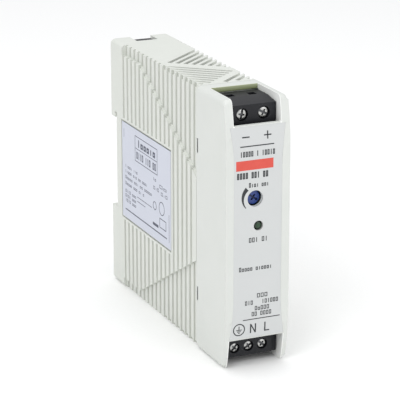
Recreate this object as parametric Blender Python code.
"""DIN rail power supply: ribbed rear case, clip-on front cover, screw terminals, sprung rail latch.

Metres, +Z up.  The front faces -Y, the rail side faces +Y, X is the width.  The origin is the
middle of the base.  Sizes measured from the rear face are turned into Y by behind(), sizes
measured from the front face by ahead().
"""

import math

import bmesh
import bpy
from mathutils import Matrix, Vector

# ---------------------------------------------------------------- overall sizes
CASE_WIDTH = 0.0225
CASE_DEPTH = 0.0985
CASE_HEIGHT = 0.090
EDGE_RADIUS = 0.0018
GAP = 0.0003  # between pieces that rest on each other

# ---------------------------------------------------------------- rear case
SIDE_WALL = 0.0026
END_WALL = 0.0026  # top and bottom walls
REAR_BLOCK = 0.0094  # solid depth behind the cavity
COVER_DEPTH = 0.0232  # front cover, from the front face to the seam
TONGUE_LENGTH = 0.0045  # lip of the case that the cover slides over

RIB_PITCH = 0.0037
GROOVE_WIDTH = 0.0015
GROOVE_DEPTH = 0.0006
FIRST_GROOVE = 0.0119  # from the rear face
CORNER_RECESS = 0.0012  # how far the outer rib fields lie under the inner one
FIELD_STEP_TOP = 0.0037  # rear end of the field border, from the top face
FIELD_CORNER = 0.0255  # where the border turns diagonal, from the rear face
FIELD_DROP = 0.0310  # front end of the border, from the top face
WINDOW_HEIGHT = 0.0050
WINDOW_WIDTH = 0.0010
WINDOW_DEPTH = 0.0016
WINDOW_OFFSET = 0.0254  # window centres above and below the middle

VENT_SLOPE = 0.87  # rib run along the depth for each unit across the width
VENT_DEPTH = 0.0012
VENT_SLOT_WIDTH = 0.0011
VENT_FIRST = 0.0250  # rear end of the slotted field on the right edge
VENT_MEETING = 0.0410  # where the two slanted fields meet on the left edge
VENT_CORNER = 0.0615  # rear end of the small front corner field
VENT_GAP = 0.0016  # web between the ends of two fields' ribs

LABEL_REAR = 0.0098
LABEL_FRONT = 0.0537
LABEL_BOTTOM = 0.0274
LABEL_TOP = 0.0624
LABEL_RECESS = 0.0006
LABEL_RIM = 0.0006
LABEL_THICKNESS = 0.0002

# ---------------------------------------------------------------- rail mounting
NOTCH_DEPTH = 0.0048
NOTCH_BOTTOM = 0.0290
NOTCH_TOP = 0.0623
FLANGE_SLOT = 0.0013  # room for the 1 mm rail flange behind the hooks
SEAT_STEP = 0.0002  # how far the rail's seat stands out of the notch's front wall
SEAT_MARGIN = 0.0008
HOOK_UNDERCUT = 0.0021
HOOK_POCKET_WIDTH = 0.0080
HOOK_POCKET_DEPTH = 0.0070
HOOK_TOP_DROP = 0.0008
HOOK_REAR_INSET = 0.0009

LATCH_WIDTH = 0.0120
LATCH_RIB_WIDTH = 0.0088
LATCH_CLEARANCE = 0.0002
LATCH_REAR_INSET = 0.0006
LATCH_FLANGE_REAR = 0.0024
LATCH_FRONT = 0.0045
LATCH_BOTTOM = 0.0036
LATCH_LIP_RISE = 0.0017
LATCH_PULL_WIDTH = 0.0050
LATCH_PULL_HEIGHT = 0.0020
LUG_WIDTH = 0.0034
LUG_HEIGHT = 0.0020
LUG_DEPTH = 0.0037
SPRING_BORE_WIDTH = 0.0042
SPRING_BORE_DEPTH = 0.0042
SPRING_BOTTOM = 0.0100
SPRING_LENGTH = 0.0135
SPRING_RADIUS = 0.0014
SPRING_WIRE = 0.00022  # wire radius
SPRING_TURNS = 7

# ---------------------------------------------------------------- front cover
COVER_WALL = 0.0015
FRONT_CURVE_HEIGHT = 0.018  # the front face bends back over this height at each end
FRONT_CURVE_RADIUS = 0.070
PANEL_BOTTOM = 0.0105
PANEL_TOP = 0.0811
OPENING_LIP = 0.0005  # frame between the panel and each terminal opening
PANEL_EDGE = 0.0030  # flat border beside the panel at mid height
PANEL_FLARE = 0.0013  # how far the panel widens towards its ends
PANEL_FLARE_HEIGHT = 0.015
PANEL_RECESS = 0.00055
PANEL_SKIN = 0.0002
PANEL_PROUD = 0.00005  # label face below the border
TOP_OPENING_CHEEK = 0.00295
OPENING_REAR = 0.0183  # rear edge of both terminal openings, from the front face

# ---------------------------------------------------------------- terminals
BLOCK_FRONT = 0.0043  # block face behind the front face
BLOCK_DEPTH = 0.0136
BLOCK_END = 0.0017  # block from the top or bottom of the case
BLOCK_HEIGHT = 0.0123
BLOCK_SLOPE_DEPTH = 0.0060
BLOCK_SLOPE_DROP = 0.0010
OUTPUT_END_WALL = 0.0004
INPUT_END_WALL = 0.00095
INPUT_FLANGE = 0.0019  # blank end of the input block
FLANGE_STEP = 0.0006
SCREW_FROM_END = 0.0058
SCREW_INSET = 0.0004
SCREW_HEAD_HEIGHT = 0.0014
INPUT_HEAD_RADIUS = 0.0016
OUTPUT_HEAD_RADIUS = 0.0019
SCREW_SHANK_RADIUS = 0.0009
SCREW_SLOT_WIDTH = 0.0007
SCREW_SLOT_DEPTH = 0.0006
SCREW_CLEARANCE = 0.0002
POLE_WALL = 0.0005
CAGE_CLEARANCE = 0.0002
CAGE_WALL = 0.0006
CAGE_JAW = 0.0012
CAGE_HEIGHT = 0.0054
CAGE_TRAVEL = 0.0027
CHAMBER_REAR_WALL = 0.0018
CHAMBER_FRONT_WALL = 0.0004
CONTACT_THICKNESS = 0.0008
CONTACT_REACH = 0.0044  # contact's foot, from the screw axis towards the middle of the case
WIRE_MOUTH = 0.0026

# ---------------------------------------------------------------- controls on the front
ADJUSTER_X = -0.00095
ADJUSTER_Z = 0.0575
ADJUSTER_HOLE_RADIUS = 0.0027
ADJUSTER_CLEARANCE = 0.0003
ADJUSTER_INSET = 0.0011
ADJUSTER_SLOT_WIDTH = 0.0008
ADJUSTER_SLOT_DEPTH = 0.0007
TRIMMER_SIZE = 0.0066
TRIMMER_DEPTH = 0.0048
INDICATOR_X = 0.00025
INDICATOR_Z = 0.0483
INDICATOR_RADIUS = 0.0015
INDICATOR_CLEARANCE = 0.00015
INDICATOR_INSET = 0.0002
LED_LENGTH = 0.0040

# ---------------------------------------------------------------- circuit boards
BOARD_THICKNESS = 0.0016
BOARD_CLEARANCE = 0.0004
BOARD_END_CLEARANCE = 0.0020
SHEET_THICKNESS = 0.0004
PART_LIFT = 0.0003
PART_HEADROOM = 0.0006
SMALL_COLUMN = 0.0120
FUSE_LENGTH = 0.0085
FUSE_WIDTH = 0.0040
X_CAPACITOR_LENGTH = 0.0130
X_CAPACITOR_WIDTH = 0.0060
DISC_SIZE = 0.0085
DISC_THICKNESS = 0.0040
SMALL_PACKAGE = 0.0065
OPTOCOUPLER_LENGTH = 0.0046
OPTOCOUPLER_RISE = 0.0035
BRIDGE_LENGTH = 0.0085
BRIDGE_RISE = 0.0032
CONTROLLER_LENGTH = 0.0050
CONTROLLER_RISE = 0.0017
CHOKE_SIZE = 0.0090
CHOKE_RISE = 0.0110
LINE_CHOKE_SIZE = 0.0118
OUTPUT_CAN_SIZE = 0.0100
BULK_CAPACITOR_LENGTH = 0.0250
TRANSFORMER_DEPTH = 0.0160
TRANSFORMER_HEIGHT = 0.0220
TRANSFORMER_LEG = 0.0028
WINDING_SHELL = 0.0005
HEATSINK_DEPTH = 0.0090
HEATSINK_HEIGHT = 0.0200
HEATSINK_THICKNESS = 0.0015
DEVICE_WIDTH = 0.0100
DEVICE_BODY = 0.0045
DEVICE_TAB = 0.0013
DEVICE_TAB_LENGTH = 0.0058
DEVICE_LIFT = 0.0010
SINK_SCREW_RADIUS = 0.0014
SINK_SCREW_HEAD = 0.0018
SINK_SCREW_HEAD_RADIUS = 0.0024

FINE = 32
ROUND = 24
COARSE = 16

half_width = CASE_WIDTH / 2
half_depth = CASE_DEPTH / 2
middle_z = CASE_HEIGHT / 2
cavity_half = half_width - SIDE_WALL
seam = CASE_DEPTH - COVER_DEPTH  # distance of the seam from the rear face


def behind(distance):
    """Y of a plane that lies this far in front of the rear face."""
    return half_depth - distance


def ahead(distance):
    """Y of a plane that lies this far behind the front face."""
    return -half_depth + distance


# ---------------------------------------------------------------- materials
def material(name, colour, roughness, metallic=0.0):
    made = bpy.data.materials.new(name)
    made.use_nodes = True
    shader = made.node_tree.nodes["Principled BSDF"]
    shader.inputs["Base Color"].default_value = (*colour, 1.0)
    shader.inputs["Roughness"].default_value = roughness
    shader.inputs["Metallic"].default_value = metallic
    made.diffuse_color = (*colour, 1.0)
    return made


MATERIALS = {
    "case_plastic": ((0.76, 0.78, 0.75), 0.55, 0.0),
    "cover_plastic": ((0.76, 0.78, 0.76), 0.50, 0.0),
    "panel_print": ((0.68, 0.70, 0.70), 0.45, 0.0),
    "label_film": ((0.66, 0.68, 0.76), 0.50, 0.0),
    "black_plastic": ((0.022, 0.022, 0.026), 0.45, 0.0),
    "terminal_black": ((0.030, 0.031, 0.036), 0.40, 0.0),
    "plated_steel": ((0.62, 0.62, 0.60), 0.30, 1.0),
    "spring_steel": ((0.45, 0.45, 0.45), 0.35, 1.0),
    "copper_alloy": ((0.72, 0.60, 0.38), 0.30, 1.0),
    "trimmer_blue": ((0.030, 0.070, 0.320), 0.40, 0.0),
    "lens_green": ((0.020, 0.080, 0.030), 0.20, 0.0),
    "led_green": ((0.060, 0.300, 0.080), 0.25, 0.0),
    "board_green": ((0.030, 0.140, 0.060), 0.45, 0.0),
    "insulation": ((0.62, 0.62, 0.58), 0.35, 0.0),
    "capacitor_yellow": ((0.75, 0.50, 0.06), 0.45, 0.0),
    "capacitor_sleeve": ((0.020, 0.030, 0.060), 0.35, 0.0),
    "ferrite": ((0.045, 0.042, 0.042), 0.60, 0.0),
    "magnet_wire": ((0.50, 0.20, 0.07), 0.30, 1.0),
    "winding_tape": ((0.72, 0.55, 0.08), 0.40, 0.0),
    "epoxy_black": ((0.025, 0.025, 0.027), 0.50, 0.0),
    "aluminium": ((0.72, 0.72, 0.73), 0.40, 1.0),
    "disc_blue": ((0.030, 0.110, 0.420), 0.40, 0.0),
    "disc_green": ((0.060, 0.160, 0.080), 0.45, 0.0),
    "fuse_brown": ((0.160, 0.070, 0.030), 0.45, 0.0),
}


# ---------------------------------------------------------------- making solids
def clear_scene():
    for thing in list(bpy.data.objects):
        bpy.data.objects.remove(thing, do_unlink=True)


def link(name, mesh, finish=None, centre=(0, 0, 0), parent=None):
    """An object whose origin is at centre; the mesh comes in world coordinates."""
    mesh.transform(Matrix.Translation(-Vector(centre)))
    thing = bpy.data.objects.new(name, mesh)
    bpy.context.scene.collection.objects.link(thing)
    thing.location = centre
    if parent:
        thing.parent = parent
        thing.location = Vector(centre) - parent.location
    if finish:
        colour, roughness, metallic = MATERIALS[finish]
        mesh.materials.append(material(name + "_" + finish, colour, roughness, metallic))
    return thing


def mesh_from(shape):
    bmesh.ops.recalc_face_normals(shape, faces=shape.faces)
    mesh = bpy.data.meshes.new("shape")
    shape.to_mesh(mesh)
    shape.free()
    return mesh


def add_box(shape, low, high):
    """Adds one closed box between two corners."""
    low, high = Vector(low), Vector(high)
    size = high - low
    place = Matrix.Translation((low + high) / 2) @ Matrix.Diagonal((*size, 1.0))
    return bmesh.ops.create_cube(shape, size=1.0, matrix=place)["verts"]


def add_prism(shape, outline, axis, start, end):
    """Adds a closed prism: the outline's two coordinates are the other axes, in X, Y, Z order."""

    def place(point, along):
        point = list(point)
        point.insert(axis, along)
        return shape.verts.new(point)

    first = [place(point, start) for point in outline]
    last = [place(point, end) for point in outline]
    count = len(outline)
    shape.faces.new(first)
    shape.faces.new(last[::-1])
    for i in range(count):
        j = (i + 1) % count
        shape.faces.new((first[i], last[i], last[j], first[j]))


def add_turned(shape, profile, sides, place):
    """Adds a solid of revolution about local Z: the profile is (radius, height) pairs, base to tip."""
    rings = []
    for radius, height in profile:
        if radius == 0:
            rings.append([shape.verts.new(place @ Vector((0, 0, height)))])
            continue
        ring = []
        for i in range(sides):
            turn = 2 * math.pi * i / sides
            point = Vector((radius * math.cos(turn), radius * math.sin(turn), height))
            ring.append(shape.verts.new(place @ point))
        rings.append(ring)
    for low, high in zip(rings, rings[1:]):
        for i in range(sides):
            j = (i + 1) % sides
            corners = [low[i % len(low)], low[j % len(low)], high[j % len(high)], high[i % len(high)]]
            shape.faces.new(list(dict.fromkeys(corners)))
    for ring in (rings[0], rings[-1]):
        if len(ring) > 1:
            shape.faces.new(ring)


def facing_front(x, y, z):
    """Local Z points to the front (-Y), from this point."""
    return Matrix.Translation((x, y, z)) @ Matrix.Rotation(math.radians(90), 4, "X")


def across(x, y, z):
    """Local Z points to -X, away from the main board, from this point."""
    return Matrix.Translation((x, y, z)) @ Matrix.Rotation(math.radians(-90), 4, "Y")


def upright(x, y, z):
    return Matrix.Translation((x, y, z))


def boxes_object(name, boxes, finish=None, centre=(0, 0, 0), parent=None):
    shape = bmesh.new()
    for low, high in boxes:
        add_box(shape, low, high)
    return link(name, mesh_from(shape), finish, centre, parent)


def prisms_object(name, prisms, finish=None, centre=(0, 0, 0), parent=None):
    shape = bmesh.new()
    for outline, axis, start, end in prisms:
        add_prism(shape, outline, axis, start, end)
    return link(name, mesh_from(shape), finish, centre, parent)


def turned_object(name, turned, finish=None, centre=(0, 0, 0), parent=None):
    shape = bmesh.new()
    for profile, sides, place in turned:
        add_turned(shape, profile, sides, place)
    made = link(name, mesh_from(shape), finish, centre, parent)
    made.data.shade_smooth()
    made.data.set_sharp_from_angle(angle=math.radians(35))
    return made


def combine(target, tool, operation):
    """Boolean with a helper object, which stays hidden as a wire shape."""
    tool.hide_render = True
    tool.display_type = "WIRE"
    step = target.modifiers.new(operation.lower() + "_" + tool.name, "BOOLEAN")
    step.operation = operation
    step.object = tool
    step.solver = "EXACT"
    return target


def cut(target, tool):
    return combine(target, tool, "DIFFERENCE")


def join(target, tool):
    return combine(target, tool, "UNION")


def slab(start, end, width):
    """Outline of a bar of this width between two points in a plane."""
    run = (Vector(end) - Vector(start)).normalized() * width / 2
    side = Vector((-run.y, run.x))
    return [Vector(start) + side, Vector(start) - side, Vector(end) - side, Vector(end) + side]


def rounded_block(name, low, high, radius, finish):
    """A box with its four edges along Y rounded."""
    shape = bmesh.new()
    add_box(shape, low, high)
    along = [e for e in shape.edges if abs(e.verts[0].co.y - e.verts[1].co.y) > radius]
    bmesh.ops.bevel(shape, geom=along, offset=radius, segments=4, profile=0.5, affect="EDGES")
    return link(name, mesh_from(shape), finish)


# ---------------------------------------------------------------- rear case
def groove_places():
    """Distances of the vertical grooves from the rear face, up to the seam."""
    count = int((seam - GROOVE_WIDTH - FIRST_GROOVE) / RIB_PITCH) + 1
    return [FIRST_GROOVE + RIB_PITCH * i for i in range(count)]


def field_border(distance):
    """How far the border of the outer rib field lies under the top face."""
    share = (distance - FIELD_CORNER) / (seam - FIELD_CORNER)
    return FIELD_STEP_TOP + max(0.0, share) * (FIELD_DROP - FIELD_STEP_TOP)


def side_fields():
    """Prisms that lower the outer rib fields, above and below on both sides."""
    start = FIRST_GROOVE - GROOVE_WIDTH
    prisms = []
    for side in (-1, 1):
        for end in (-1, 1):
            outline = [
                (behind(distance), middle_z + end * (middle_z - drop))
                for distance, drop in (
                    (start, -GAP),
                    (start, FIELD_STEP_TOP),
                    (FIELD_CORNER, FIELD_STEP_TOP),
                    (seam + GAP, FIELD_DROP),
                    (seam + GAP, -GAP),
                )
            ]
            prisms.append((outline, 0, side * (half_width - CORNER_RECESS), side * (half_width + GAP)))
    return prisms


def side_grooves():
    """One stepped bar for each vertical groove; the label pad interrupts them on the left."""
    prisms = []
    outside = half_width + 2 * GAP
    shallow = half_width - GROOVE_DEPTH
    deep = half_width - CORNER_RECESS - GROOVE_DEPTH
    for side in (-1, 1):
        for distance in groove_places():
            border = CASE_HEIGHT - field_border(distance)
            mirrored_border = CASE_HEIGHT - border
            over = CASE_HEIGHT + 2 * GAP
            upper = [(outside, over), (deep, over), (deep, border), (shallow, border)]
            lower = [(shallow, mirrored_border), (deep, mirrored_border)]
            lower += [(deep, -2 * GAP), (outside, -2 * GAP)]
            labelled = side < 0 and distance < LABEL_FRONT + GROOVE_WIDTH
            if labelled:
                pad_top = LABEL_TOP + LABEL_RIM + GROOVE_WIDTH / 2
                pad_bottom = LABEL_BOTTOM - LABEL_RIM - GROOVE_WIDTH / 2
                outlines = [
                    upper + [(shallow, pad_top), (outside, pad_top)],
                    [(outside, pad_bottom), (shallow, pad_bottom)] + lower,
                ]
            else:
                outlines = [upper + lower]
            for outline in outlines:
                placed = [(side * x, z) for x, z in outline]
                start = behind(distance + GROOVE_WIDTH / 2)
                prisms.append((placed, 1, start, start + GROOVE_WIDTH))
    return prisms


def vent_lines():
    """Centre lines of the slanted ribs on the top, as ((x, distance), (x, distance)) pairs."""
    limit = seam - GROOVE_WIDTH
    outer = half_width + GROOVE_WIDTH

    def line(side, distance, end_x):
        """From the side's edge, where the groove of that side ends, slanting towards the front."""
        reach = [distance + VENT_SLOPE * (half_width - side * x) for x in (side * outer, end_x)]
        return (side * outer, reach[0]), (end_x, reach[1])

    def crossing(from_right, from_left):
        return (from_right - from_left) / (2 * VENT_SLOPE)

    lines = []
    for distance in groove_places():
        if VENT_FIRST < distance < VENT_MEETING + VENT_SLOPE * CASE_WIDTH - RIB_PITCH:
            lines.append(line(1, distance, crossing(distance, VENT_MEETING) + VENT_GAP))
        if distance > VENT_CORNER:
            lines.append(line(1, distance, half_width - (limit - distance) / VENT_SLOPE))
        if distance > VENT_MEETING + RIB_PITCH / 2:
            at_corner = crossing(VENT_CORNER, distance) - VENT_GAP
            at_limit = (limit - distance) / VENT_SLOPE - half_width
            lines.append(line(-1, distance, min(at_corner, at_limit)))
    return lines


def clipped(line, half):
    """The stretch of a line within this distance of the middle plane, or None."""
    (x0, d0), (x1, d1) = line
    slope = (d1 - d0) / (x1 - x0)
    a, b = sorted((x0, x1))
    a, b = max(a, -half), min(b, half)
    if b - a < VENT_SLOT_WIDTH:
        return None
    return (a, d0 + slope * (a - x0)), (b, d0 + slope * (b - x0))


def vents(lines, width, half, low, high):
    """Bars along slanted lines, through this height range, on the top and mirrored below."""
    prisms = []
    for part in filter(None, (clipped(line, half) for line in lines)):
        (x0, d0), (x1, d1) = part
        outline = slab((x0, behind(d0)), (x1, behind(d1)), width)
        prisms.append((outline, 2, low, high))
        prisms.append((outline, 2, CASE_HEIGHT - high, CASE_HEIGHT - low))
    return prisms


def rail_cuts():
    """The rail notch and the undercut for the rail flange behind the upper hook."""
    wide = half_width + 2 * GAP
    lip = NOTCH_DEPTH - FLANGE_SLOT
    z0, z1, z2 = NOTCH_BOTTOM, NOTCH_TOP, NOTCH_TOP + HOOK_UNDERCUT
    seat_top, seat_bottom = z1 - SEAT_MARGIN, z0 + LATCH_LIP_RISE + SEAT_MARGIN
    outline = [
        (behind(-GAP), z0),
        (behind(-GAP), z1),
        (behind(lip), z1),
        (behind(lip), z2),
        (behind(NOTCH_DEPTH + SEAT_STEP), z2),
        (behind(NOTCH_DEPTH + SEAT_STEP), seat_top),
        (behind(NOTCH_DEPTH), seat_top),
        (behind(NOTCH_DEPTH), seat_bottom),
        (behind(NOTCH_DEPTH + SEAT_STEP), seat_bottom),
        (behind(NOTCH_DEPTH + SEAT_STEP), z0),
    ]
    return [(outline, 0, -wide, wide)]


def latch_channel():
    """T-slot for the latch, open below and into the notch."""
    flange = LATCH_WIDTH / 2 + LATCH_CLEARANCE
    rib = LATCH_RIB_WIDTH / 2 + LATCH_CLEARANCE
    neck = LATCH_FLANGE_REAR - LATCH_CLEARANCE
    front = LATCH_FRONT + LATCH_CLEARANCE
    outline = [
        (-rib, behind(-GAP)),
        (-rib, behind(neck)),
        (-flange, behind(neck)),
        (-flange, behind(front)),
        (flange, behind(front)),
        (flange, behind(neck)),
        (rib, behind(neck)),
        (rib, behind(-GAP)),
    ]
    return [(outline, 2, -GAP, NOTCH_BOTTOM + GAP)]


def make_rear_case():
    case = rounded_block(
        "rear_case",
        (-half_width, behind(seam), 0),
        (half_width, behind(0), CASE_HEIGHT),
        EDGE_RADIUS,
        "case_plastic",
    )
    tongue_half = half_width - COVER_WALL - GAP
    tongue_low = COVER_WALL + GAP
    tongue = boxes_object(
        "tongue",
        [
            (
                (-tongue_half, behind(seam + TONGUE_LENGTH), tongue_low),
                (tongue_half, behind(seam - COVER_WALL), CASE_HEIGHT - tongue_low),
            )
        ],
    )
    join(case, tongue)
    block_rear, block_reach = ahead(BLOCK_FRONT + BLOCK_DEPTH) + GAP, BLOCK_END + BLOCK_HEIGHT + 2 * GAP
    block_rooms = [
        ((-half_width, ahead(0), low), (half_width, block_rear, high))
        for low, high in ((0, block_reach), (CASE_HEIGHT - block_reach, CASE_HEIGHT))
    ]
    cut(case, boxes_object("block_rooms", block_rooms))
    hook_front = behind(HOOK_POCKET_DEPTH)
    hollows = boxes_object(
        "hollows",
        [
            (
                (-cavity_half, behind(seam + TONGUE_LENGTH + GAP), END_WALL),
                (cavity_half, behind(REAR_BLOCK), CASE_HEIGHT - END_WALL),
            ),
            (
                (-HOOK_POCKET_WIDTH / 2, hook_front, NOTCH_TOP - GAP),
                (HOOK_POCKET_WIDTH / 2, behind(-GAP), CASE_HEIGHT + GAP),
            ),
        ],
    )
    cut(case, hollows)
    cut(case, prisms_object("rail_notch", rail_cuts()))
    cut(case, prisms_object("latch_channel", latch_channel()))
    spring_half, spring_top = SPRING_BORE_WIDTH / 2, SPRING_BOTTOM + SPRING_LENGTH
    bore_front = LATCH_FRONT + SPRING_BORE_DEPTH
    spring_bore = boxes_object(
        "spring_bore",
        [
            (
                (-spring_half, behind(bore_front), SPRING_BOTTOM - GAP),
                (spring_half, behind(LATCH_FRONT), spring_top + LUG_HEIGHT + 2 * GAP),
            )
        ],
    )
    cut(case, spring_bore)
    windows = []
    for side in (-1, 1):
        for end in (-1, 1):
            z = middle_z + end * WINDOW_OFFSET
            inner, outer = sorted((side * (half_width - WINDOW_DEPTH), side * (half_width + GAP)))
            windows.append(
                (
                    (inner, behind(seam + GAP), z - WINDOW_HEIGHT / 2),
                    (outer, behind(seam - WINDOW_WIDTH), z + WINDOW_HEIGHT / 2),
                )
            )
    cut(case, boxes_object("windows", windows))
    pad = boxes_object(
        "label_pad",
        [
            (
                (-half_width - GAP, behind(LABEL_FRONT + LABEL_RIM), LABEL_BOTTOM - LABEL_RIM),
                (-half_width + LABEL_RECESS, behind(LABEL_REAR - LABEL_RIM), LABEL_TOP + LABEL_RIM),
            )
        ],
    )
    cut(case, pad)
    cut(case, prisms_object("side_fields", side_fields()))
    cut(case, prisms_object("side_grooves", side_grooves()))
    over = CASE_HEIGHT + GAP
    vent_floor = CASE_HEIGHT - VENT_DEPTH
    slot_half = cavity_half - GROOVE_WIDTH
    slot_floor = CASE_HEIGHT - END_WALL - GAP
    lines = vent_lines()
    cut(case, prisms_object("vent_grooves", vents(lines, GROOVE_WIDTH, half_width + GAP, vent_floor, over)))
    cut(case, prisms_object("vent_slots", vents(lines, VENT_SLOT_WIDTH, slot_half, slot_floor, over)))
    return case


def make_side_label():
    floor = -half_width + LABEL_RECESS
    return boxes_object(
        "side_label",
        [
            (
                (floor - GAP - LABEL_THICKNESS, behind(LABEL_FRONT), LABEL_BOTTOM),
                (floor - GAP, behind(LABEL_REAR), LABEL_TOP),
            )
        ],
        "label_film",
    )


# ---------------------------------------------------------------- rail hook and latch
def make_rail_hook():
    """Black foot pressed into the upper rear of the case; its lip holds the rail's top flange."""
    half = HOOK_POCKET_WIDTH / 2 - GAP
    rear = behind(HOOK_REAR_INSET)
    lip_front = behind(NOTCH_DEPTH - FLANGE_SLOT)
    body_front = behind(HOOK_POCKET_DEPTH - GAP)
    shoulder = NOTCH_TOP + HOOK_UNDERCUT
    outline = [
        (rear, NOTCH_TOP),
        (lip_front, NOTCH_TOP),
        (lip_front, shoulder),
        (body_front, shoulder),
        (body_front, CASE_HEIGHT - HOOK_TOP_DROP),
        (rear, CASE_HEIGHT - HOOK_TOP_DROP),
    ]
    return prisms_object("rail_hook", [(outline, 0, -half, half)], "black_plastic")


def make_latch(parent):
    """T-shaped slider with a slanted lip, a spring lug in front and a slot for a screwdriver."""
    flange, rib = LATCH_WIDTH / 2, LATCH_RIB_WIDTH / 2
    rear, neck, front = behind(LATCH_REAR_INSET), behind(LATCH_FLANGE_REAR), behind(LATCH_FRONT)
    section = [
        (-rib, rear),
        (-rib, neck),
        (-flange, neck),
        (-flange, front),
        (flange, front),
        (flange, neck),
        (rib, neck),
        (rib, rear),
    ]
    top = NOTCH_BOTTOM - GAP
    latch = prisms_object("rail_latch", [(section, 2, LATCH_BOTTOM, top)], "black_plastic", parent=parent)
    lip_front = behind(NOTCH_DEPTH - FLANGE_SLOT)
    lip = [
        (rear, top - LATCH_LIP_RISE),
        (lip_front, top - LATCH_LIP_RISE),
        (lip_front, NOTCH_BOTTOM + LATCH_LIP_RISE),
        (behind(LATCH_FLANGE_REAR), NOTCH_BOTTOM + LATCH_LIP_RISE),
        (rear, NOTCH_BOTTOM),
    ]
    join(latch, prisms_object("latch_lip", [(lip, 0, -rib + GAP, rib - GAP)], parent=parent))
    spring_top = SPRING_BOTTOM + SPRING_LENGTH
    lug = boxes_object(
        "latch_lug",
        [
            (
                (-LUG_WIDTH / 2, behind(LATCH_FRONT + LUG_DEPTH), spring_top + GAP),
                (LUG_WIDTH / 2, behind(LATCH_FRONT - GAP), spring_top + GAP + LUG_HEIGHT),
            )
        ],
        parent=parent,
    )
    join(latch, lug)
    pull_bottom = LATCH_BOTTOM + LATCH_PULL_HEIGHT
    pull = boxes_object(
        "latch_pull",
        [
            (
                (-LATCH_PULL_WIDTH / 2, behind(LATCH_FLANGE_REAR + GAP), pull_bottom),
                (LATCH_PULL_WIDTH / 2, behind(0), pull_bottom + LATCH_PULL_HEIGHT),
            )
        ],
        parent=parent,
    )
    return cut(latch, pull)


def make_spring():
    """Compression spring on the Z axis, with its lower end on the case and its top under the lug."""
    shape = bmesh.new()
    steps, sides = 12, 5
    y = behind(LATCH_FRONT + SPRING_BORE_DEPTH / 2)
    count = SPRING_TURNS * steps + 1
    height = SPRING_LENGTH - 2 * SPRING_WIRE
    rings = []
    for i in range(count):
        turn = 2 * math.pi * i / steps
        middle = Vector((0, y, SPRING_BOTTOM + SPRING_WIRE + height * i / (count - 1)))
        outward = Vector((math.cos(turn), math.sin(turn), 0))
        ring = []
        for j in range(sides):
            angle = 2 * math.pi * j / sides
            offset = outward * (SPRING_RADIUS + SPRING_WIRE * math.cos(angle))
            ring.append(shape.verts.new(middle + offset + Vector((0, 0, SPRING_WIRE * math.sin(angle)))))
        rings.append(ring)
    for low, high in zip(rings, rings[1:]):
        for j in range(sides):
            k = (j + 1) % sides
            shape.faces.new((low[j], low[k], high[k], high[j]))
    shape.faces.new(rings[0])
    shape.faces.new(rings[-1])
    spring = link("latch_spring", mesh_from(shape), "spring_steel")
    spring.data.shade_smooth()
    return spring


# ---------------------------------------------------------------- front cover
def front_setback(z):
    """How far the front face lies behind its middle at this height."""
    end = min(z, CASE_HEIGHT - z)
    bend = max(0.0, FRONT_CURVE_HEIGHT - end)
    return FRONT_CURVE_RADIUS - math.sqrt(FRONT_CURVE_RADIUS**2 - bend**2)


def front_heights(low, high, steps=5):
    """Heights that follow the front curve between two levels."""
    marks = {low, high}
    for i in range(steps + 1):
        bend = FRONT_CURVE_HEIGHT * i / steps
        for z in (bend, CASE_HEIGHT - bend):
            if low < z < high:
                marks.add(z)
    return sorted(marks)


def cover_outline(inset):
    """(y, z) outline of the cover, drawn in by inset, from the seam round the front."""
    low, high = inset, CASE_HEIGHT - inset
    radius = max(EDGE_RADIUS - inset, EDGE_RADIUS / 6)
    front = [
        (ahead(front_setback(z) + inset), z) for z in front_heights(low + radius, high - radius)
    ]
    corner = []
    y_edge = front[-1][0]
    for i in range(1, 5):
        turn = math.radians(90) * i / 4
        corner.append((y_edge + radius * (1 - math.cos(turn)), high - radius + radius * math.sin(turn)))
    bottom = [(y, CASE_HEIGHT - z) for y, z in reversed(corner)]
    return bottom + front + corner


def panel_half(z):
    """Half width of the printed panel: it widens smoothly towards both ends."""
    end = min(z - PANEL_BOTTOM, PANEL_TOP - z)
    share = min(1.0, max(0.0, 1 - end / PANEL_FLARE_HEIGHT))
    return half_width - PANEL_EDGE + PANEL_FLARE * share**2


def panel_sheet(name, grow, front, back, finish=None):
    """A curved sheet over the panel; front and back are its distances behind the cover's face."""
    shape = bmesh.new()
    steps = 5
    heights = set(front_heights(PANEL_BOTTOM, PANEL_TOP, 3))
    for i in range(steps):
        step = PANEL_FLARE_HEIGHT * i / steps
        heights |= {PANEL_BOTTOM + step, PANEL_TOP - step}
    heights |= {PANEL_BOTTOM - grow, PANEL_TOP + grow}
    heights -= {PANEL_BOTTOM, PANEL_TOP} if grow else set()
    rows = []
    for z in sorted(heights):
        half = panel_half(z) + grow
        near, far = ahead(front_setback(z) + front), ahead(front_setback(z) + back)
        rows.append(
            [shape.verts.new(p) for p in ((-half, near, z), (half, near, z), (half, far, z), (-half, far, z))]
        )
    for low, high in zip(rows, rows[1:]):
        for i in range(4):
            j = (i + 1) % 4
            shape.faces.new((low[i], low[j], high[j], high[i]))
    shape.faces.new(rows[0])
    shape.faces.new(rows[-1])
    return link(name, mesh_from(shape), finish)


def front_holes(name, adjuster_radius, indicator_radius):
    deep = COVER_WALL * 3
    return turned_object(
        name,
        [
            (
                [(adjuster_radius, -deep), (adjuster_radius, deep)],
                FINE,
                facing_front(ADJUSTER_X, ahead(0), ADJUSTER_Z),
            ),
            (
                [(indicator_radius, -deep), (indicator_radius, deep)],
                ROUND,
                facing_front(INDICATOR_X, ahead(0), INDICATOR_Z),
            ),
        ],
    )


top_opening_half = half_width - TOP_OPENING_CHEEK
bottom_opening_half = half_width - COVER_WALL - GAP / 3


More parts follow.
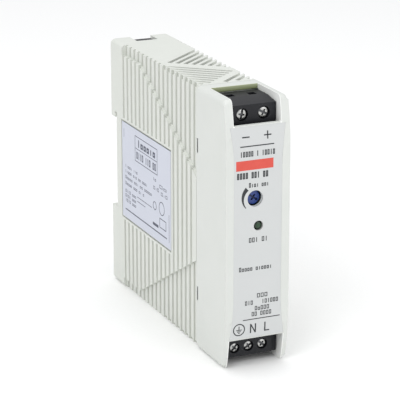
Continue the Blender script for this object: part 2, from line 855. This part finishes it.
def make_front_cover():
    shape = bmesh.new()
    seam_y = behind(seam + GAP)
    outline = [(seam_y, 0), *cover_outline(0.0), (seam_y, CASE_HEIGHT)]
    add_prism(shape, outline, 0, -half_width, half_width)
    rounded = [
        e
        for e in shape.edges
        if abs(e.verts[0].co.x - e.verts[1].co.x) < 1e-6 and min(v.co.y for v in e.verts) < seam_y - 1e-6
    ]
    bmesh.ops.bevel(shape, geom=rounded, offset=EDGE_RADIUS, segments=4, profile=0.5, affect="EDGES")
    cover = link("front_cover", mesh_from(shape), "cover_plastic")
    inner = half_width - COVER_WALL
    shelf = CASE_HEIGHT - BLOCK_END - BLOCK_HEIGHT - GAP
    step = ahead(BLOCK_FRONT + BLOCK_DEPTH)
    rear, ceiling = behind(seam - GAP), CASE_HEIGHT - COVER_WALL
    inside = [(rear, COVER_WALL)]
    inside += [point for point in cover_outline(COVER_WALL) if point[1] < shelf]
    inside += [(ahead(front_setback(shelf) + COVER_WALL), shelf)]
    inside += [(step, shelf), (step, ceiling), (rear, ceiling)]
    cut(cover, prisms_object("cover_hollow", [(inside, 0, -inner, inner)]))
    pocket_front = ahead(front_setback(PANEL_TOP) + COVER_WALL)
    pocket_top = PANEL_TOP + COVER_WALL
    pocket = ((-top_opening_half, pocket_front, shelf - GAP), (top_opening_half, step + GAP, pocket_top))
    cut(cover, boxes_object("block_pocket", [pocket]))
    edge, over = ahead(-GAP), CASE_HEIGHT + GAP
    rim = ahead(OPENING_REAR)
    openings = boxes_object(
        "terminal_openings",
        [
            ((-top_opening_half, edge, PANEL_TOP + OPENING_LIP), (top_opening_half, rim, over)),
            ((-bottom_opening_half, edge, -GAP), (bottom_opening_half, rim, PANEL_BOTTOM - OPENING_LIP)),
        ],
    )
    cut(cover, openings)
    cut(cover, panel_sheet("panel_recess", GAP / 2, -COVER_WALL, PANEL_RECESS))
    indicator_hole = INDICATOR_RADIUS + INDICATOR_CLEARANCE
    return cut(cover, front_holes("cover_holes", ADJUSTER_HOLE_RADIUS, indicator_hole))


def make_front_panel():
    panel = panel_sheet("front_panel", -GAP / 2, PANEL_PROUD, PANEL_PROUD + PANEL_SKIN, "panel_print")
    indicator_hole = INDICATOR_RADIUS + INDICATOR_CLEARANCE
    return cut(panel, front_holes("panel_holes", ADJUSTER_HOLE_RADIUS, indicator_hole))


# ---------------------------------------------------------------- terminal blocks
def pole_centres(half, poles, end_wall, flange):
    """X of each pole, and the pitch; the poles fill the block but for its blank flange."""
    pitch = (2 * half - flange - 2 * end_wall) / poles
    first = -half + end_wall + pitch / 2
    return [first + pitch * i for i in range(poles)], pitch


def terminal_planes(end, pitch):
    """The planes that the block, screw, cage and contact of a pole share."""

    def level(from_end):
        return middle_z + end * (middle_z - from_end)

    front = ahead(BLOCK_FRONT)
    rear = front + BLOCK_DEPTH
    screw_face = front + SCREW_INSET
    head_seat = screw_face + SCREW_HEAD_HEIGHT
    chamber_front = head_seat + GAP / 2 + CHAMBER_FRONT_WALL
    chamber_rear = rear - CHAMBER_REAR_WALL
    cage_front = chamber_front + CAGE_CLEARANCE + CAGE_TRAVEL
    cage_rear = chamber_rear - CAGE_CLEARANCE
    contact_front = cage_front + CAGE_JAW + 2 * CAGE_CLEARANCE
    chamber_half = pitch / 2 - POLE_WALL / 2
    return {
        "level": level,
        "front": front,
        "rear": rear,
        "screw_face": screw_face,
        "head_seat": head_seat,
        "screw_tip": contact_front - GAP,
        "chamber": (chamber_front, chamber_rear),
        "chamber_half": chamber_half,
        "cage": (cage_front, cage_rear),
        "cage_half": chamber_half - CAGE_CLEARANCE,
        "contact_front": contact_front,
        "contact_half": chamber_half - CAGE_CLEARANCE - CAGE_WALL - CAGE_CLEARANCE,
        "screw_z": level(SCREW_FROM_END),
    }


def between(level, first, second):
    """Two levels, lower one first."""
    return sorted((level(first), level(second)))


def make_block(prefix, half, centres, planes, head_radius, flange):
    """Block body with a chamber, screw bore, wire mouth and contact slot at each pole."""
    level, front, rear = planes["level"], planes["front"], planes["rear"]
    outline = [
        (rear, level(BLOCK_END)),
        (front + BLOCK_SLOPE_DEPTH, level(BLOCK_END)),
        (front, level(BLOCK_END + BLOCK_SLOPE_DROP)),
        (front, level(BLOCK_END + BLOCK_HEIGHT)),
        (rear, level(BLOCK_END + BLOCK_HEIGHT)),
    ]
    block = prisms_object(prefix + "_terminal_body", [(outline, 0, -half, half)], "terminal_black")
    cage_reach = CAGE_HEIGHT / 2 + CAGE_CLEARANCE
    foot = SCREW_FROM_END + CONTACT_REACH
    low, high = between(level, SCREW_FROM_END - cage_reach, foot + GAP)
    mouth_low, mouth_high = between(level, -GAP, SCREW_FROM_END)
    slot_low, slot_high = between(level, foot - CONTACT_THICKNESS - GAP, foot + GAP)
    chamber_front, chamber_rear = planes["chamber"]
    chamber_half = planes["chamber_half"]
    mouth_rear = planes["cage"][1] - CAGE_JAW
    mouth_half = min(WIRE_MOUTH / 2, planes["contact_half"])
    slot_half = planes["contact_half"] + GAP
    neck, bore = SCREW_SHANK_RADIUS + SCREW_CLEARANCE, head_radius + SCREW_CLEARANCE
    seat = front - planes["head_seat"] - GAP / 2
    bore_profile = [(neck, front - chamber_front - GAP), (neck, seat), (bore, seat), (bore, GAP)]
    chambers, mouths, slots, bores = [], [], [], []
    for x in centres:
        chambers.append(((x - chamber_half, chamber_front, low), (x + chamber_half, chamber_rear, high)))
        mouth_corner = (x - mouth_half, mouth_rear - WIRE_MOUTH, mouth_low)
        mouths.append((mouth_corner, (x + mouth_half, mouth_rear, mouth_high)))
        slots.append(((x - slot_half, chamber_rear - GAP, slot_low), (x + slot_half, rear + GAP, slot_high)))
        bores.append((bore_profile, ROUND, facing_front(x, front, planes["screw_z"])))
    cut(block, boxes_object(prefix + "_chambers", chambers))
    cut(block, turned_object(prefix + "_screw_bores", bores))
    cut(block, boxes_object(prefix + "_wire_mouths", mouths))
    cut(block, boxes_object(prefix + "_contact_slots", slots))
    if flange:
        step_low, step_high = between(level, -GAP, BLOCK_END + BLOCK_HEIGHT + GAP)
        corner = (half + GAP, front + FLANGE_STEP, step_high)
        cut(block, boxes_object(prefix + "_flange_step", [((half - flange, front - GAP, step_low), corner)]))
    return block


def make_screw(name, x, planes, head_radius):
    """Clamp screw on its own axis, head to the front, with a driver slot."""
    y, z = planes["screw_face"], planes["screw_z"]
    axis = bpy.data.objects.new(name + "_axis", None)
    bpy.context.scene.collection.objects.link(axis)
    axis.location = (x, y, z)
    profile = [
        (SCREW_SHANK_RADIUS, y - planes["screw_tip"]),
        (SCREW_SHANK_RADIUS, -SCREW_HEAD_HEIGHT),
        (head_radius, -SCREW_HEAD_HEIGHT),
        (head_radius, -SCREW_HEAD_HEIGHT / 3),
        (head_radius - SCREW_HEAD_HEIGHT / 4, 0),
    ]
    screw = turned_object(name, [(profile, ROUND, facing_front(x, y, z))], "plated_steel", (x, y, z), axis)
    reach = head_radius + GAP
    low = (x - reach, y - GAP, z - SCREW_SLOT_WIDTH / 2)
    high = (x + reach, y + SCREW_SLOT_DEPTH, z + SCREW_SLOT_WIDTH / 2)
    return cut(screw, boxes_object(name + "_slot", [(low, high)], None, (x, y, z), axis))


def make_cage(name, x, planes):
    """Rising clamp cage: a ring open upwards and downwards, threaded in its front wall."""
    front, rear = planes["cage"]
    half, z = planes["cage_half"], planes["screw_z"]
    centre = (x, front, z)
    tall = CAGE_HEIGHT / 2
    frame = ((x - half, front, z - tall), (x + half, rear, z + tall))
    cage = boxes_object(name, [frame], "plated_steel", centre)
    inner = half - CAGE_WALL
    window = ((x - inner, front + CAGE_JAW, z - tall - GAP), (x + inner, rear - CAGE_JAW, z + tall + GAP))
    cut(cage, boxes_object(name + "_window", [window], None, centre))
    radius = SCREW_SHANK_RADIUS + SCREW_CLEARANCE
    thread = [(radius, -CAGE_JAW - GAP), (radius, GAP)]
    return cut(cage, turned_object(name + "_thread", [(thread, COARSE, facing_front(*centre))], None, centre))


def make_contact(name, x, planes):
    """Fixed current bar inside the cage, with a foot through the block's rear wall and the board."""
    level, front = planes["level"], planes["contact_front"]
    top = level(SCREW_FROM_END - CAGE_HEIGHT / 2)
    foot = SCREW_FROM_END + CONTACT_REACH
    tip = planes["rear"] + 2 * GAP + BOARD_THICKNESS + CONTACT_THICKNESS
    outline = [
        (front, top),
        (front, level(foot)),
        (tip, level(foot)),
        (tip, level(foot - CONTACT_THICKNESS)),
        (front + CONTACT_THICKNESS, level(foot - CONTACT_THICKNESS)),
        (front + CONTACT_THICKNESS, top),
    ]
    half = planes["contact_half"]
    return prisms_object(name, [(outline, 0, x - half, x + half)], "copper_alloy")


def make_terminals():
    """Both terminal blocks; gives the contacts' places for the board behind them."""
    passages = []
    output_half, input_half = top_opening_half - GAP, bottom_opening_half - GAP
    output_poles, input_poles = ("minus", "plus"), ("earth", "neutral", "line")
    for prefix, end, half, end_wall, flange, head_radius, names in (
        ("output", 1, output_half, OUTPUT_END_WALL, 0.0, OUTPUT_HEAD_RADIUS, output_poles),
        ("input", -1, input_half, INPUT_END_WALL, INPUT_FLANGE, INPUT_HEAD_RADIUS, input_poles),
    ):
        centres, pitch = pole_centres(half, len(names), end_wall, flange)
        planes = terminal_planes(end, pitch)
        make_block(prefix, half, centres, planes, head_radius, flange)
        for name, x in zip(names, centres):
            label = f"{prefix}_{name}"
            make_screw(label + "_screw", x, planes, head_radius)
            make_cage(label + "_cage", x, planes)
            make_contact(label + "_contact", x, planes)
            foot = SCREW_FROM_END + CONTACT_REACH
            low, high = between(planes["level"], foot - CONTACT_THICKNESS - GAP, foot + GAP)
            passages.append((x - planes["contact_half"] - GAP, x + planes["contact_half"] + GAP, low, high))
    return passages


# ---------------------------------------------------------------- boards
board_rear_y = ahead(BLOCK_FRONT + BLOCK_DEPTH + GAP) + BOARD_THICKNESS
board_half = cavity_half - BOARD_CLEARANCE
main_board_face = board_half - BOARD_THICKNESS
main_board_front = board_rear_y + GAP
main_board_rear = behind(REAR_BLOCK) - BOARD_CLEARANCE
board_low = END_WALL + BOARD_CLEARANCE
board_high = CASE_HEIGHT - board_low
sheet_face = -cavity_half + BOARD_CLEARANCE + SHEET_THICKNESS
part_height = main_board_face - sheet_face - PART_LIFT - PART_HEADROOM


def make_boards(passages):
    """Front board with the terminals' slots, main board behind it, and the insulation sheet."""
    front_y = board_rear_y - BOARD_THICKNESS
    board_box = ((-board_half, front_y, board_low), (board_half, board_rear_y, board_high))
    front_board = boxes_object("front_board", [board_box], "board_green")
    slots = [((x0, front_y - GAP, z0), (x1, board_rear_y + GAP, z1)) for x0, x1, z0, z1 in passages]
    cut(front_board, boxes_object("front_board_slots", slots))
    low, high = board_low + BOARD_END_CLEARANCE, board_high - BOARD_END_CLEARANCE
    boxes_object(
        "main_board",
        [((main_board_face, main_board_front, low), (board_half, main_board_rear, high))],
        "board_green",
    )
    boxes_object(
        "insulation_sheet",
        [((-cavity_half + BOARD_CLEARANCE, main_board_front, low), (sheet_face, main_board_rear, high))],
        "insulation",
    )


def spread(sizes, low, high):
    """Centres of pieces of these sizes in a row between two ends, with equal gaps."""
    space = (high - low - sum(sizes)) / (len(sizes) + 1)
    centres = []
    at = low
    for size in sizes:
        at += space
        centres.append(at + size / 2)
        at += size
    return centres


def block_part(name, y, z, size_y, size_z, height, finish):
    """A square-cornered part standing on the main board."""
    base = main_board_face - PART_LIFT
    low = (base - height, y - size_y / 2, z - size_z / 2)
    return boxes_object(name, [(low, (base, y + size_y / 2, z + size_z / 2))], finish)


def can_part(name, y, z, radius, height, finish):
    """A round can standing on the main board, with a rolled rim and a crimp near its base."""
    rim = radius / 8
    profile = [
        (radius - rim, 0),
        (radius, rim),
        (radius, 1.5 * rim),
        (radius - rim, 2.5 * rim),
        (radius, 3.5 * rim),
        (radius, height - rim),
        (radius - rim, height),
    ]
    place = across(main_board_face - PART_LIFT, y, z)
    return turned_object(name, [(profile, ROUND, place)], finish)


def disc_part(name, y, z, radius, thickness, finish):
    """A lens-shaped disc with its flat sides along the depth, its rim near the board."""
    x = main_board_face - PART_LIFT - radius
    edge = thickness / 4
    profile = [
        (radius - edge, -thickness / 2),
        (radius, -thickness / 2 + edge),
        (radius, thickness / 2 - edge),
        (radius - edge, thickness / 2),
    ]
    return turned_object(name, [(profile, ROUND, facing_front(x, y, z))], finish)


def drum_choke(prefix, y, z, radius, height):
    """Flanged ferrite drum and the winding round its waist."""
    place = across(main_board_face - PART_LIFT, y, z)
    waist, lip = radius * 0.42, height * 0.14
    core = [(radius, 0), (radius, lip), (waist, lip)]
    core += [(waist, height - lip), (radius, height - lip), (radius, height)]
    turned_object(prefix + "_core", [(core, ROUND, place)], "ferrite")
    outer, low, high = radius * 0.92, lip + GAP, height - lip - GAP
    wound = ([(outer, low), (outer, high)], ROUND, place)
    winding = turned_object(prefix + "_winding", [wound], "magnet_wire")
    bore = [(waist + GAP, low - GAP), (waist + GAP, high + GAP)]
    return cut(winding, turned_object(prefix + "_winding_bore", [(bore, ROUND, place)]))


def transistor_on_heatsink(prefix, part, y, z):
    """Plate standing on the board, a flat-pack device on its front side and the screw through both."""
    base = main_board_face - PART_LIFT
    plate_y = y + HEATSINK_DEPTH / 2 - HEATSINK_THICKNESS
    top = base - part_height
    plate = boxes_object(
        prefix + "_heatsink",
        [
            (
                (top, plate_y, z - HEATSINK_HEIGHT / 2),
                (base, plate_y + HEATSINK_THICKNESS, z + HEATSINK_HEIGHT / 2),
            )
        ],
        "aluminium",
    )
    tab_face = plate_y - GAP
    tab_end = top + GAP
    outline = [
        (tab_end, tab_face),
        (base - DEVICE_LIFT, tab_face),
        (base - DEVICE_LIFT, tab_face - DEVICE_BODY),
        (tab_end + DEVICE_TAB_LENGTH, tab_face - DEVICE_BODY),
        (tab_end + DEVICE_TAB_LENGTH, tab_face - DEVICE_TAB),
        (tab_end, tab_face - DEVICE_TAB),
    ]
    half = DEVICE_WIDTH / 2
    device = prisms_object(part, [(outline, 2, z - half, z + half)], "epoxy_black")
    x = tab_end + DEVICE_TAB_LENGTH / 2
    bore = SINK_SCREW_RADIUS + SCREW_CLEARANCE
    hole = [(bore, -2 * HEATSINK_DEPTH), (bore, HEATSINK_DEPTH)]
    for piece in (plate, device):
        cut(piece, turned_object(piece.name + "_hole", [(hole, COARSE, facing_front(x, tab_face, z))]))
    seat = tab_face - DEVICE_TAB - GAP
    shank = plate_y + HEATSINK_THICKNESS + SINK_SCREW_HEAD - seat
    profile = [
        (SINK_SCREW_RADIUS, -shank),
        (SINK_SCREW_RADIUS, 0),
        (SINK_SCREW_HEAD_RADIUS, 0),
        (SINK_SCREW_HEAD_RADIUS, SINK_SCREW_HEAD / 2),
        (SINK_SCREW_HEAD_RADIUS * 0.6, SINK_SCREW_HEAD),
    ]
    turned_object(part + "_screw", [(profile, COARSE, facing_front(x, seat, z))], "plated_steel")


def make_transformer(y, z):
    """Twin-E core lying along Z, with its bobbin and winding round the middle leg."""
    x = main_board_face - PART_LIFT - part_height / 2
    wide, tall, leg, thick = TRANSFORMER_DEPTH / 2, TRANSFORMER_HEIGHT / 2, TRANSFORMER_LEG, TRANSFORMER_LEG
    core = boxes_object(
        "transformer_core",
        [((x - thick, y - wide, z - tall), (x + thick, y + wide, z + tall))],
        "ferrite",
    )
    post, window = leg * 0.9, wide - leg
    windows = [
        ((x - 2 * thick, y + a, z - tall + leg), (x + 2 * thick, y + b, z + tall - leg))
        for a, b in ((-window, -post), (post, window))
    ]
    cut(core, boxes_object("transformer_windows", windows))
    reach = part_height / 2 - GAP
    shell = WINDING_SHELL
    high = tall - leg - GAP
    end = high - 2 * shell
    side = window - GAP

    def ring(name, finish, levels, outer, inner):
        (low_z, high_z), (outer_x, outer_y), (inner_x, inner_y) = levels, outer, inner
        made = boxes_object(
            name, [((x - outer_x, y - outer_y, z + low_z), (x + outer_x, y + outer_y, z + high_z))], finish
        )
        hole = ((x - inner_x, y - inner_y, z + low_z - GAP), (x + inner_x, y + inner_y, z + high_z + GAP))
        return cut(made, boxes_object(name + "_hole", [hole]))

    tube = (thick + GAP + shell, post + GAP + shell)
    bobbin = ring("transformer_bobbin", "epoxy_black", (-high, high), tube, (thick + GAP, post + GAP))
    flange_hole = (thick + GAP + shell / 2, post + GAP + shell / 2)
    for low_z, high_z in ((-high, -end), (end, high)):
        flange = ring("bobbin_flange", None, (low_z, high_z), (reach, side), flange_hole)
        join(bobbin, flange)
    winding_inner = (tube[0] + GAP, tube[1] + GAP)
    winding_outer = (reach - GAP, side - GAP)
    ring("transformer_winding", "winding_tape", (-end + GAP, end - GAP), winding_outer, winding_inner)


def make_bulk_capacitor(y, z):
    """Large can lying along Z on the main board."""
    radius = part_height / 2 - GAP
    x = main_board_face - PART_LIFT - radius
    rim = radius / 8
    length = BULK_CAPACITOR_LENGTH
    profile = [
        (radius - rim, 0),
        (radius, rim),
        (radius, 2 * rim),
        (radius - rim, 3 * rim),
        (radius, 4 * rim),
        (radius, length - rim),
        (radius - rim, length),
    ]
    turned_object("bulk_capacitor", [(profile, ROUND, upright(x, y, z - length / 2))], "capacitor_sleeve")


def make_components():
    """Parts on the main board, in four columns from front to rear; each column is spread along Z."""
    low, high = board_low + BOARD_END_CLEARANCE, board_high - BOARD_END_CLEARANCE
    widths = (SMALL_COLUMN, SMALL_COLUMN, TRANSFORMER_DEPTH, HEATSINK_DEPTH)
    y_front, y_second, y_third, y_rear = spread(widths, main_board_front, main_board_rear)

    sizes = (FUSE_LENGTH, X_CAPACITOR_LENGTH, DISC_SIZE, OPTOCOUPLER_LENGTH, CHOKE_SIZE, OUTPUT_CAN_SIZE)
    fuse, x_capacitor, varistor, optocoupler, choke, can = spread(sizes, low, high)
    block_part("fuse", y_front, fuse, FUSE_WIDTH, FUSE_LENGTH, FUSE_LENGTH, "fuse_brown")
    tall = part_height - GAP
    x_size = (X_CAPACITOR_WIDTH, X_CAPACITOR_LENGTH, tall)
    block_part("x_capacitor", y_front, x_capacitor, *x_size, "capacitor_yellow")
    disc_part("varistor", y_front, varistor, DISC_SIZE / 2, DISC_THICKNESS, "disc_blue")
    optocoupler_size = (SMALL_PACKAGE, OPTOCOUPLER_LENGTH, OPTOCOUPLER_RISE)
    block_part("optocoupler", y_front, optocoupler, *optocoupler_size, "epoxy_black")
    drum_choke("output_choke", y_front, choke, CHOKE_SIZE / 2, CHOKE_RISE)
    can_part("output_capacitor_front", y_front, can, OUTPUT_CAN_SIZE / 2, tall, "capacitor_sleeve")

    sizes = (DISC_SIZE, LINE_CHOKE_SIZE, BRIDGE_LENGTH, DISC_SIZE, OUTPUT_CAN_SIZE)
    thermistor, choke, bridge, y_capacitor, can = spread(sizes, low, high)
    disc_part("inrush_thermistor", y_second, thermistor, DISC_SIZE / 2, DISC_THICKNESS, "disc_green")
    drum_choke("line_choke", y_second, choke, LINE_CHOKE_SIZE / 2, part_height - GAP)
    block_part("bridge_rectifier", y_second, bridge, SMALL_PACKAGE, BRIDGE_LENGTH, BRIDGE_RISE, "epoxy_black")
    disc_part("y_capacitor", y_second, y_capacitor, DISC_SIZE / 2, DISC_THICKNESS, "disc_blue")
    can_part("output_capacitor_rear", y_second, can, OUTPUT_CAN_SIZE / 2, tall, "capacitor_sleeve")

    sizes = (BULK_CAPACITOR_LENGTH, CONTROLLER_LENGTH, TRANSFORMER_HEIGHT)
    bulk, controller, transformer = spread(sizes, low, high)
    make_bulk_capacitor(y_third, bulk)
    controller_size = (SMALL_PACKAGE, CONTROLLER_LENGTH, CONTROLLER_RISE)
    block_part("controller_chip", y_third, controller, *controller_size, "epoxy_black")
    make_transformer(y_third, transformer)

    primary, secondary = spread((HEATSINK_HEIGHT, HEATSINK_HEIGHT), low, high)
    transistor_on_heatsink("primary", "switching_transistor", y_rear, primary)
    transistor_on_heatsink("secondary", "output_diode", y_rear, secondary)


# ---------------------------------------------------------------- voltage adjuster and indicator
def make_adjuster():
    """Trimmer on the front board and its long blue spindle, which turns behind the panel hole."""
    board_y = board_rear_y - BOARD_THICKNESS
    body_front = board_y - GAP - TRIMMER_DEPTH
    half = TRIMMER_SIZE / 2
    low = (ADJUSTER_X - half, body_front, ADJUSTER_Z - half)
    high = (ADJUSTER_X + half, board_y - GAP, ADJUSTER_Z + half)
    boxes_object("trimmer_body", [(low, high)], "trimmer_blue")
    face = ahead(ADJUSTER_INSET)
    place = (ADJUSTER_X, face, ADJUSTER_Z)
    axis = bpy.data.objects.new("adjuster_axis", None)
    bpy.context.scene.collection.objects.link(axis)
    axis.location = place
    radius = ADJUSTER_HOLE_RADIUS - ADJUSTER_CLEARANCE
    profile = [
        (radius, face - body_front + GAP),
        (radius, -radius / 8),
        (radius - radius / 8, 0),
    ]
    turned = (profile, FINE, facing_front(*place))
    spindle = turned_object("adjuster_spindle", [turned], "trimmer_blue", place, axis)
    half_slot = ADJUSTER_SLOT_WIDTH / 2
    low = (ADJUSTER_X - radius + radius / 4, face - GAP, ADJUSTER_Z - half_slot)
    high = (ADJUSTER_X + radius - radius / 4, face + ADJUSTER_SLOT_DEPTH, ADJUSTER_Z + half_slot)
    return cut(spindle, boxes_object("spindle_slot", [(low, high)], None, place, axis))


def make_indicator():
    """Green light-emitting diode on the front board and the light pipe in front of it."""
    base = board_rear_y - BOARD_THICKNESS - GAP
    dome = INDICATOR_RADIUS / 2
    led = [
        (INDICATOR_RADIUS, 0),
        (INDICATOR_RADIUS, LED_LENGTH - INDICATOR_RADIUS),
        (INDICATOR_RADIUS - dome / 3, LED_LENGTH - dome),
        (dome, LED_LENGTH),
    ]
    turned_object("indicator_led", [(led, ROUND, facing_front(INDICATOR_X, base, INDICATOR_Z))], "led_green")
    face = ahead(INDICATOR_INSET)
    length = base - LED_LENGTH - GAP - face
    pipe = [
        (INDICATOR_RADIUS, -length),
        (INDICATOR_RADIUS, -dome / 2),
        (INDICATOR_RADIUS - dome / 3, -dome / 6),
        (dome, 0),
    ]
    turned = (pipe, ROUND, facing_front(INDICATOR_X, face, INDICATOR_Z))
    turned_object("indicator_lens", [turned], "lens_green")


# ---------------------------------------------------------------- the whole unit
def main():
    clear_scene()
    make_rear_case()
    make_side_label()
    make_rail_hook()
    latch_axis = bpy.data.objects.new("latch_axis", None)
    bpy.context.scene.collection.objects.link(latch_axis)
    make_latch(latch_axis)
    make_spring()
    make_front_cover()
    make_front_panel()
    passages = make_terminals()
    make_boards(passages)
    make_components()
    make_adjuster()
    make_indicator()


main()
